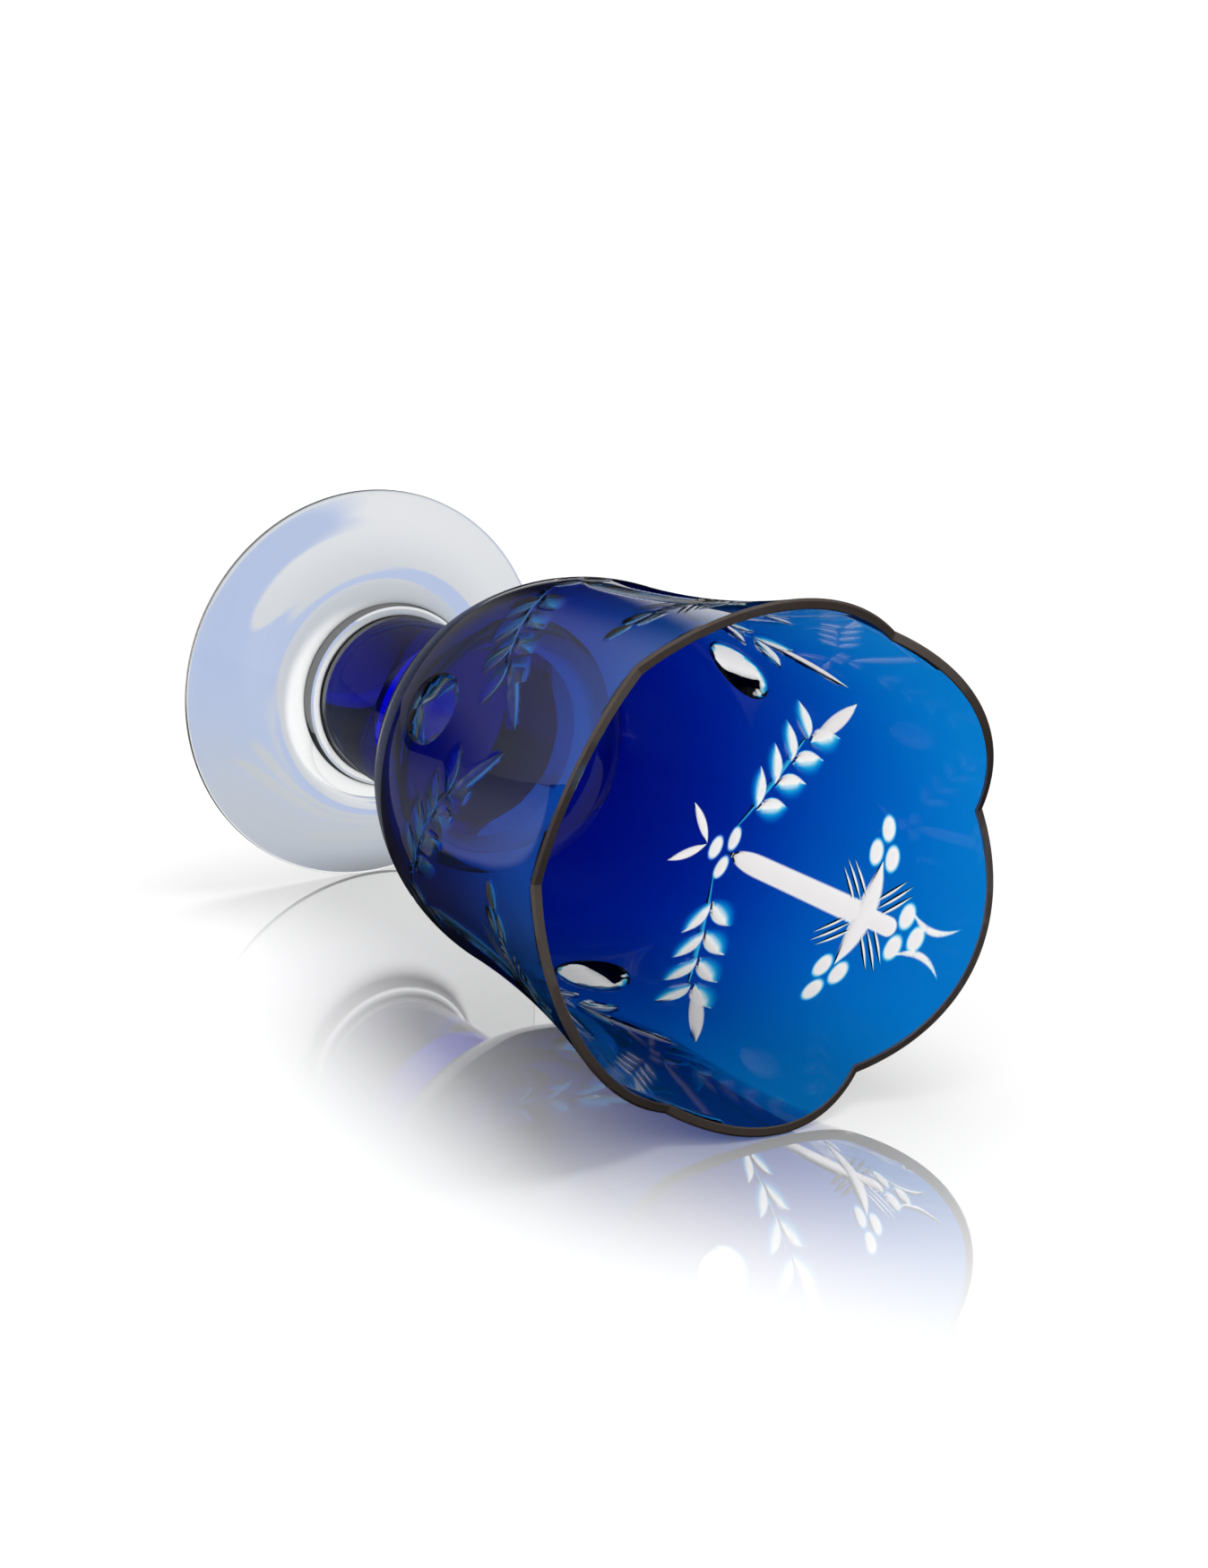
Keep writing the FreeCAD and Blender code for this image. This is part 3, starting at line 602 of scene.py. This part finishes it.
for radius in (round_x * 0.66, round_x * 0.33):
    rings.append(ring_points(np.full(len(around_mouth), radius), INSIDE_FLOOR))
inside = np.concatenate([*rings, [[0, 0, INSIDE_FLOOR]]])
count = len(around_mouth)
here, following = np.arange(count), (np.arange(count) + 1) % count
first = np.arange(len(rings) - 1)[:, None] * count
inside_faces = np.stack([first + here, first + following, first + count + following, first + count + here],
                        axis=2).reshape(-1, 4)
last = (len(rings) - 1) * count
well = np.stack([last + here, last + following, np.full(count, len(inside) - 1)], axis=1)
base_radii = (float(wall_radius(np.array(SEAT_Z))), 16.0, 8.0)
base_rings = [ring_points(np.full(count, radius), SEAT_Z) for radius in base_radii]
base = np.concatenate([*base_rings, [[0, 0, SEAT_Z]]])
first = np.arange(2)[:, None] * count
base_faces = np.stack([first + following, first + here, first + count + here, first + count + following],
                      axis=2).reshape(-1, 4)
base_well = np.stack([2 * count + following, 2 * count + here, np.full(count, 3 * count)], axis=1)

start_inside = sum(map(len, outside))
start_base = start_inside + len(inside)
bowl_points = np.concatenate([*outside, inside, base])
bowl_faces = [*np.concatenate(outside_faces).tolist(), *(inside_faces + start_inside).tolist(),
              *(well + start_inside).tolist(), *(base_faces + start_base).tolist(),
              *(base_well + start_base).tolist()]
lip_skin = skin_left(around_mouth, lip_height, 0 * lip_height)
bowl_skin = np.concatenate([*outside_skin, lip_skin, np.zeros(len(inside) - count), np.full(len(base), 1.41)])
lip_faces = np.arange(6 * count) + sum(map(len, outside_faces))

bowl_cut = np.concatenate([*outside_cut, np.zeros(len(inside) + len(base))])
ARRIS_ANGLE = 24
bowl = piece("bowl_cut_crystal", bowl_points, bowl_faces, ARRIS_ANGLE)
for name, values in (("skin", bowl_skin), ("cut", bowl_cut)):
    layer = bowl.data.attributes.new(name, "FLOAT", "POINT")
    layer.data.foreach_set("value", values.astype(np.float32))
surface = np.zeros(len(bowl_faces), np.int32)
surface[lip_faces] = 1
bowl.data.polygons.foreach_set("material_index", surface)
shell = bmesh.new()
shell.from_mesh(bowl.data)
bmesh.ops.remove_doubles(shell, verts=shell.verts, dist=0.003 * MM)
shell.to_mesh(bowl.data)
shell.free()
bowl.data.shade_smooth()
bowl.data.set_sharp_from_angle(angle=math.radians(ARRIS_ANGLE))


def cobalt_group():
    """Shader group for the colour that a thickness of cobalt glass lets through: each of red, green and
    blue is its own share per millimetre, raised to the thickness."""
    group = bpy.data.node_groups.new("cobalt colour", "ShaderNodeTree")
    group.interface.new_socket("Thickness", in_out="INPUT", socket_type="NodeSocketFloat")
    group.interface.new_socket("Color", in_out="OUTPUT", socket_type="NodeSocketColor")
    given = node(group, "NodeGroupInput", (-600, 0))
    put = node(group, "NodeGroupOutput", (300, 0))
    mixed = node(group, "ShaderNodeCombineColor", (50, 0))
    for index, share in enumerate((1e-16, 0.00008, 0.058)):
        power = node(group, "ShaderNodeMath", (-250, -170 * index), operation="POWER")
        power.inputs[0].default_value = share
        group.links.new(given.outputs["Thickness"], power.inputs[1])
        group.links.new(power.outputs["Value"], mixed.inputs[index])
    group.links.new(mixed.outputs["Color"], put.inputs["Color"])
    return group


COBALT_COLOUR = cobalt_group()
cased_crystal, bowl_tree, bowl_shader = glass("crystal under a cobalt skin", 45.0, 0.00002, 0.015)
skin_layer = node(bowl_tree, "ShaderNodeAttribute", (-1000, 300), attribute_name="skin")
tint = node(bowl_tree, "ShaderNodeGroup", (-750, 300), node_tree=COBALT_COLOUR)
cut_layer = node(bowl_tree, "ShaderNodeAttribute", (-1000, -150), attribute_name="cut")
stone = node(bowl_tree, "ShaderNodeMix", (-200, 250), data_type="RGBA")
stone.inputs["B"].default_value = (0.87, 0.83, 0.84, 1)
bowl_tree.links.new(cut_layer.outputs["Fac"], stone.inputs["Factor"])
bowl_tree.links.new(tint.outputs["Color"], stone.inputs["A"])
bowl_tree.links.new(stone.outputs["Result"], bowl_shader.inputs["Base Color"])
polish_roughness = bowl_shader.inputs["Roughness"].links[0].from_socket
worn = node(bowl_tree, "ShaderNodeMath", (-600, -350), operation="MULTIPLY_ADD")
worn.inputs[1].default_value = 0.22
bowl_tree.links.new(cut_layer.outputs["Fac"], worn.inputs[0])
bowl_tree.links.new(polish_roughness, worn.inputs[2])
bowl_tree.links.new(worn.outputs["Value"], bowl_shader.inputs["Roughness"])
# A liberty with real glass: the second wall that light crosses counts as only a quarter of its skin, and
# the skin met first as seven tenths, because full thicknesses would leave the outside nearly black.
way = node(bowl_tree, "ShaderNodeLightPath", (-1300, 500))
second_wall = node(bowl_tree, "ShaderNodeMath", (-1150, 500), operation="GREATER_THAN")
second_wall.inputs[1].default_value = 2.5
thinned = node(bowl_tree, "ShaderNodeMath", (-1000, 500), operation="MULTIPLY_ADD")
thinned.inputs[1].default_value = -0.75
thinned.inputs[2].default_value = 1.0
counted = node(bowl_tree, "ShaderNodeMath", (-850, 400), operation="MULTIPLY")
bowl_tree.links.new(way.outputs["Transmission Depth"], second_wall.inputs[0])
bowl_tree.links.new(second_wall.outputs["Value"], thinned.inputs[0])
bowl_tree.links.new(thinned.outputs["Value"], counted.inputs[0])
bowl_tree.links.new(skin_layer.outputs["Fac"], counted.inputs[1])
met_first = node(bowl_tree, "ShaderNodeMath", (-850, 600), operation="MULTIPLY_ADD")
met_first.inputs[1].default_value = -0.30
met_first.inputs[2].default_value = 1.0
bowl_tree.links.new(way.outputs["Is Camera Ray"], met_first.inputs[0])
from_outside = node(bowl_tree, "ShaderNodeMath", (-700, 450), operation="MULTIPLY")
bowl_tree.links.new(met_first.outputs["Value"], from_outside.inputs[0])
bowl_tree.links.new(counted.outputs["Value"], from_outside.inputs[1])
bowl_tree.links.new(from_outside.outputs["Value"], tint.inputs["Thickness"])
# The lip is ground flat and only half polished, so it looks like a dark line where the skin is seen end on.
ground_lip, _, lip_shader = glass("ground lip", 45.0, 0.00002, 0.015)
lip_shader.inputs["Transmission Weight"].default_value = 0.35
lip_shader.inputs["Base Color"].default_value = (0.14, 0.11, 0.095, 1)
bowl.data.materials.append(cased_crystal)
bowl.data.materials.append(ground_lip)
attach(bowl, "root")
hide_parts("bowl_crystal", "bowl_casing")

# ---------------------------------------------------------------- table
# A glossy white table top, on which the vase lies on the edge of its foot and two lobes of its mouth.
# Two sheets make it: a white one that thins out where it shines, and a mirror just under that one.
# The shine fades towards the front. Seen through glass, the table is painted a soft grey shade with lavender
# patches of painted reflection, and in glints on the glass it is painted dark, a painted reflection.

TABLE_UP = Vector((0.86214, 0.50509, 0.04050)).normalized()
standing_on = np.concatenate([np.array([vertex.co for vertex in shown.data.vertices]) for shown in (foot, bowl)])
TABLE_LEVEL = float((standing_on @ np.array(TABLE_UP)).min())
CAMERA_PLACE = Vector((-11.50, 472.45, 845.97)) * MM
CAMERA_FORWARD = Vector((0.01557, -0.55408, -0.83232)).normalized()
TABLE_FRONT = -(CAMERA_FORWARD - TABLE_UP * CAMERA_FORWARD.dot(TABLE_UP)).normalized()
TABLE_SIDE = TABLE_FRONT.cross(TABLE_UP)


def table_layer(name, drop):
    """A large square of the table's plane, a little below where the vase touches it."""
    middle = TABLE_UP * (TABLE_LEVEL - drop)
    corners = [middle + TABLE_FRONT * x * 6.0 + TABLE_SIDE * y * 6.0
               for x, y in ((-1, -1), (1, -1), (1, 1), (-1, 1))]
    mesh = bpy.data.meshes.new(name)
    mesh.from_pydata([tuple(corner) for corner in corners], [], [(0, 1, 2, 3)])
    if mesh.polygons[0].normal.dot(TABLE_UP) < 0:
        mesh.flip_normals()
    made = bpy.data.objects.new(name, mesh)
    bpy.context.scene.collection.objects.link(made)
    return made


def along(tree, source, direction, place, start, end, low, high):
    """How far a point or a way of looking goes in a direction, eased from low at start to high at end."""
    measured = node(tree, "ShaderNodeVectorMath", place, operation="DOT_PRODUCT")
    measured.inputs[1].default_value = tuple(direction)
    ease = node(tree, "ShaderNodeMapRange", (place[0] + 200, place[1]), interpolation_type="SMOOTHSTEP")
    for socket, number in (("From Min", start), ("From Max", end), ("To Min", low), ("To Max", high)):
        ease.inputs[socket].default_value = number
    tree.links.new(source, measured.inputs[0])
    tree.links.new(measured.outputs["Value"], ease.inputs["Value"])
    return ease.outputs["Result"]


def combined(tree, operation, first, second, place):
    """Two values, or a value and a number, worked together."""
    made = node(tree, "ShaderNodeMath", place, operation=operation)
    for socket, given in zip(made.inputs, (first, second)):
        if isinstance(given, (int, float)):
            socket.default_value = given
        else:
            tree.links.new(given, socket)
    return made.outputs["Value"]


table = table_layer("table_top", 0.00002)
white_top = bpy.data.materials.new("white table top")
white_top.use_nodes = True
tree = white_top.node_tree
tree.nodes.clear()
output = node(tree, "ShaderNodeOutputMaterial", (900, 0))
where = node(tree, "ShaderNodeNewGeometry", (-1200, -200))
path = node(tree, "ShaderNodeLightPath", (-1200, 300))
lit = node(tree, "ShaderNodeBsdfDiffuse", (0, 200))
glow = node(tree, "ShaderNodeEmission", (0, 50))
body = node(tree, "ShaderNodeAddShader", (250, 150))
clear = node(tree, "ShaderNodeBsdfTransparent", (250, -200))
polished = node(tree, "ShaderNodeMixShader", (500, 0))
one_sided = node(tree, "ShaderNodeMixShader", (700, 0))
direct = combined(tree, "SUBTRACT", 1.0, path.outputs["Is Reflection Ray"], (-900, 300))
contact = np.array([standing_on[group][(standing_on[group] @ np.array(TABLE_UP)).argmin()]
                    for group in (slice(0, len(foot.data.vertices)), slice(len(foot.data.vertices), None))])
LYING = Vector(contact[1] - contact[0]).normalized()
OUTWARD = LYING.cross(TABLE_UP) * math.copysign(1, LYING.cross(TABLE_UP).dot(TABLE_FRONT))
line = float(OUTWARD.dot(Vector(contact[0])))
spot = where.outputs["Position"]
shine = combined(tree, "MULTIPLY",
                 along(tree, spot, OUTWARD, (-1000, -200), line, line + 0.095, 0.56, 0.0),
                 along(tree, spot, TABLE_FRONT, (-1000, -400), 0.20, 0.33, 1.0, 0.05), (-600, -300))
# Painted reflection: in glints on the glass the table is painted black, with a dark grey band on one side, instead
# of white.
painted_glint_band = combined(tree, "MULTIPLY",
                     along(tree, spot, TABLE_SIDE, (-1000, 350), -0.06, 0.02, 0.0, 1.0),
                     along(tree, spot, TABLE_SIDE + 0.8 * TABLE_FRONT, (-1000, 500), 0.119, 0.127, 0.03, 0.26),
                     (-700, 450))
bare = combined(tree, "LESS_THAN", path.outputs["Transparent Depth"], 0.5, (-1200, 600))
mirrored_once = combined(tree, "GREATER_THAN", path.outputs["Glossy Depth"], 0.5, (-1200, 700))
turned_back = combined(tree, "MULTIPLY", mirrored_once, bare, (-1000, 700))
lightness = combined(tree, "MAXIMUM", combined(tree, "MULTIPLY", direct, 0.9, (-650, 300)), painted_glint_band, (-500, 300))
# Painted shade and painted reflection: seen through glass, the table is painted a soft grey, with lavender patches
# of painted reflection behind the foot.
seen_through = combined(tree, "MULTIPLY", path.outputs["Is Transmission Ray"],
                        along(tree, spot, TABLE_SIDE, (-1000, 900), -0.06, -0.02, 0.0, 1.0), (-500, 800))
cloud = node(tree, "ShaderNodeTexNoise", (-900, 1200))
cloud.inputs["Scale"].default_value = 9.0
cloud.inputs["Detail"].default_value = 2.0
cloud.inputs["Distortion"].default_value = 0.8
tree.links.new(spot, cloud.inputs["Vector"])
spread = node(tree, "ShaderNodeMapRange", (-650, 1200), interpolation_type="SMOOTHSTEP")
spread.inputs["From Min"].default_value = 0.113
spread.inputs["From Max"].default_value = 0.120
leftward = along(tree, spot, TABLE_SIDE, (-1000, 1500), -0.10, 0.10, -0.10, 0.10)
leftward.node.interpolation_type = "LINEAR"
edge = combined(tree, "MULTIPLY_ADD", cloud.outputs["Fac"], 0.2, (-750, 1400))
tree.links.new(leftward, edge.node.inputs[2])
tree.links.new(edge, spread.inputs["Value"])
pale = node(tree, "ShaderNodeMix", (-600, 1400), data_type="RGBA")
pale.inputs["A"].default_value = (0.74, 0.75, 0.77, 1)
pale.inputs["B"].default_value = (0.52, 0.55, 0.59, 1)
tree.links.new(along(tree, spot, TABLE_FRONT, (-1000, 1700), -0.32, -0.12, 0.0, 1.0), pale.inputs["Factor"])
painted_shade_and_reflection = node(tree, "ShaderNodeMix", (-400, 1100), data_type="RGBA")
tree.links.new(pale.outputs["Result"], painted_shade_and_reflection.inputs["A"])
painted_shade_and_reflection.inputs["B"].default_value = (0.44, 0.52, 0.72, 1)
behind_only = along(tree, spot, TABLE_FRONT, (-1000, 1900), -0.20, -0.08, 1.0, 0.15)
painted_reflection_patches = combined(tree, "MULTIPLY", spread.outputs["Result"], behind_only, (-500, 1600))
tree.links.new(painted_reflection_patches, painted_shade_and_reflection.inputs["Factor"])
body_colour = node(tree, "ShaderNodeMix", (-200, 700), data_type="RGBA")
tree.links.new(seen_through, body_colour.inputs["Factor"])
tree.links.new(lightness, body_colour.inputs["A"])
tree.links.new(painted_shade_and_reflection.outputs["Result"], body_colour.inputs["B"])
dimmed = node(tree, "ShaderNodeVectorMath", (0, 700), operation="SCALE")
# Painted shade: seen after a glint inside the glass, the table's colour is dimmed to three tenths.
kept_light = combined(tree, "MULTIPLY_ADD", turned_back, -0.7, (-200, 500))
kept_light.node.inputs[2].default_value = 1.0
not_glint = combined(tree, "MAXIMUM", kept_light, path.outputs["Is Reflection Ray"], (-50, 500))
tree.links.new(body_colour.outputs["Result"], dimmed.inputs[0])
tree.links.new(not_glint, dimmed.inputs["Scale"])
tree.links.new(dimmed.outputs["Vector"], lit.inputs["Color"])
glow.inputs["Color"].default_value = (1, 1, 1, 1)
far_glow = along(tree, spot, -TABLE_FRONT, (-1000, 650), 0.0, 1.1, 0.08, 0.6)
seen_glow = combined(tree, "MULTIPLY", path.outputs["Is Camera Ray"], far_glow, (-700, 50))
far_glow = combined(tree, "MAXIMUM", 0.08, seen_glow, (-550, 0))
not_through = combined(tree, "SUBTRACT", direct, seen_through, (-600, 150))
tree.links.new(combined(tree, "MULTIPLY", not_through, far_glow, (-400, 50)), glow.inputs["Strength"])
tree.links.new(combined(tree, "MULTIPLY", not_through, shine, (-200, -200)), polished.inputs["Fac"])
tree.links.new(lit.outputs["BSDF"], body.inputs[0])
tree.links.new(glow.outputs["Emission"], body.inputs[1])
tree.links.new(body.outputs["Shader"], polished.inputs[1])
tree.links.new(clear.outputs["BSDF"], polished.inputs[2])
tree.links.new(where.outputs["Backfacing"], one_sided.inputs["Fac"])
tree.links.new(polished.outputs["Shader"], one_sided.inputs[1])
tree.links.new(clear.outputs["BSDF"], one_sided.inputs[2])
tree.links.new(one_sided.outputs["Shader"], output.inputs["Surface"])
table.data.materials.append(white_top)

mirror = table_layer("table_shine", 0.00022)
shine_layer = bpy.data.materials.new("table shine")
shine_layer.use_nodes = True
tree = shine_layer.node_tree
tree.nodes.clear()
output = node(tree, "ShaderNodeOutputMaterial", (600, 0))
where = node(tree, "ShaderNodeNewGeometry", (-200, 200))
gloss = node(tree, "ShaderNodeBsdfGlossy", (0, 0))
gloss.inputs["Roughness"].default_value = 0.015
gloss.inputs["Color"].default_value = (1, 1, 1, 1)
clear = node(tree, "ShaderNodeBsdfTransparent", (0, -200))
one_sided = node(tree, "ShaderNodeMixShader", (300, 0))
tree.links.new(where.outputs["Backfacing"], one_sided.inputs["Fac"])
tree.links.new(gloss.outputs["BSDF"], one_sided.inputs[1])
tree.links.new(clear.outputs["BSDF"], one_sided.inputs[2])
tree.links.new(one_sided.outputs["Shader"], output.inputs["Surface"])
mirror.data.materials.append(shine_layer)

# ---------------------------------------------------------------- studio
# A white room that is dimmer behind the camera, one soft light above the vase and a little behind and to
# the right of it, and the camera.  Glints on the glass see a plainer room of a few soft white areas.

CAMERA_UP = Vector((0.90190, 0.36715, -0.22754))
CAMERA_RIGHT = CAMERA_FORWARD.cross(CAMERA_UP).normalized()
CAMERA_UP = CAMERA_RIGHT.cross(CAMERA_FORWARD).normalized()

room = bpy.data.worlds.new("white room")
bpy.context.scene.world = room
room.use_nodes = True
tree = room.node_tree
background = tree.nodes["Background"]
background.inputs["Color"].default_value = (1, 1, 1, 1)
look = node(tree, "ShaderNodeTexCoord", (-1600, 0)).outputs["Generated"]
path = node(tree, "ShaderNodeLightPath", (-1600, 400))
backdrop = along(tree, look, CAMERA_FORWARD, (-1300, 0), 0.1, 0.65, 0.08, 1.0)
panel = combined(tree, "MULTIPLY",
                 along(tree, look, CAMERA_RIGHT, (-1300, -200), -0.12, -0.30, 0.0, 0.22),
                 along(tree, look, CAMERA_RIGHT, (-1300, -400), -0.82, -0.70, 0.0, 1.0), (-800, -300))
far_end = combined(tree, "MULTIPLY", along(tree, look, CAMERA_FORWARD, (-1300, -600), 0.90, 0.97, 0.0, 1.0),
                   along(tree, look, CAMERA_UP, (-1300, -1000), 0.05, 0.2, 0.1, 1.0), (-800, -700))
behind = along(tree, look, -CAMERA_FORWARD, (-1300, -800), -0.2, 0.4, 0.02, 0.30)
mirrored = combined(tree, "ADD", combined(tree, "ADD", panel, far_end, (-600, -400)), behind, (-400, -500))
bare = combined(tree, "LESS_THAN", path.outputs["Transparent Depth"], 0.5, (-1300, 500))
glint = combined(tree, "MULTIPLY", path.outputs["Is Reflection Ray"], bare, (-1000, 450))
mirrored_once = combined(tree, "GREATER_THAN", path.outputs["Glossy Depth"], 0.5, (-1300, 700))
turned_back = combined(tree, "MULTIPLY", mirrored_once, bare, (-1100, 700))
kept_light = combined(tree, "MULTIPLY_ADD", turned_back, -0.85, (-900, 700))
kept_light.node.inputs[2].default_value = 1.0
backdrop = combined(tree, "MULTIPLY", backdrop, kept_light, (-700, 600))
choice = node(tree, "ShaderNodeMix", (-200, 0), data_type="FLOAT")
tree.links.new(glint, choice.inputs["Factor"])
tree.links.new(backdrop, choice.inputs["A"])
tree.links.new(mirrored, choice.inputs["B"])
strong = combined(tree, "MULTIPLY_ADD", path.outputs["Is Diffuse Ray"], 1.35, (-200, 300))
strong.node.inputs[2].default_value = 1.0
lifted = combined(tree, "MULTIPLY", choice.outputs["Result"], strong, (0, 150))
white_behind = combined(tree, "MAXIMUM", lifted, path.outputs["Is Camera Ray"], (300, 150))
tree.links.new(white_behind, background.inputs["Strength"])


def soft_light(name, place, target, width, height, radiance):
    """A rectangular soft light that faces a target; its power is radiance times area times pi."""
    lamp = bpy.data.lights.new(name, "AREA")
    lamp.shape = "RECTANGLE"
    lamp.size, lamp.size_y = width, height
    lamp.energy = radiance * width * height * math.pi
    made = bpy.data.objects.new(name, lamp)
    aim = (target - place).to_track_quat("-Z", "Y").to_matrix().to_4x4()
    made.matrix_world = Matrix.Translation(place) @ aim
    bpy.context.scene.collection.objects.link(made)
    return made


middle = Vector((0, 0, 0.13))
key_place = middle + TABLE_UP * 1.2 - TABLE_FRONT * 0.2 - TABLE_SIDE * 0.12
key = soft_light("key", key_place, middle, 0.9, 0.9, 4.6)
key.visible_glossy = False
key.visible_transmission = False

camera_data = bpy.data.cameras.new("camera")
camera_data.sensor_fit = "VERTICAL"
camera_data.sensor_height = 36.0
camera_data.lens = 76.1
camera_data.clip_start = 0.01
camera = bpy.data.objects.new("camera", camera_data)
turn = Matrix((CAMERA_RIGHT, CAMERA_UP, -CAMERA_FORWARD)).transposed().to_4x4()
camera.matrix_world = Matrix.Translation(CAMERA_PLACE) @ turn
bpy.context.scene.collection.objects.link(camera)
bpy.context.scene.camera = camera
bpy.context.scene.view_settings.view_transform = "Standard"
bpy.context.scene.cycles.max_bounces = 24
bpy.context.scene.cycles.transmission_bounces = 24
bpy.context.scene.cycles.glossy_bounces = 12
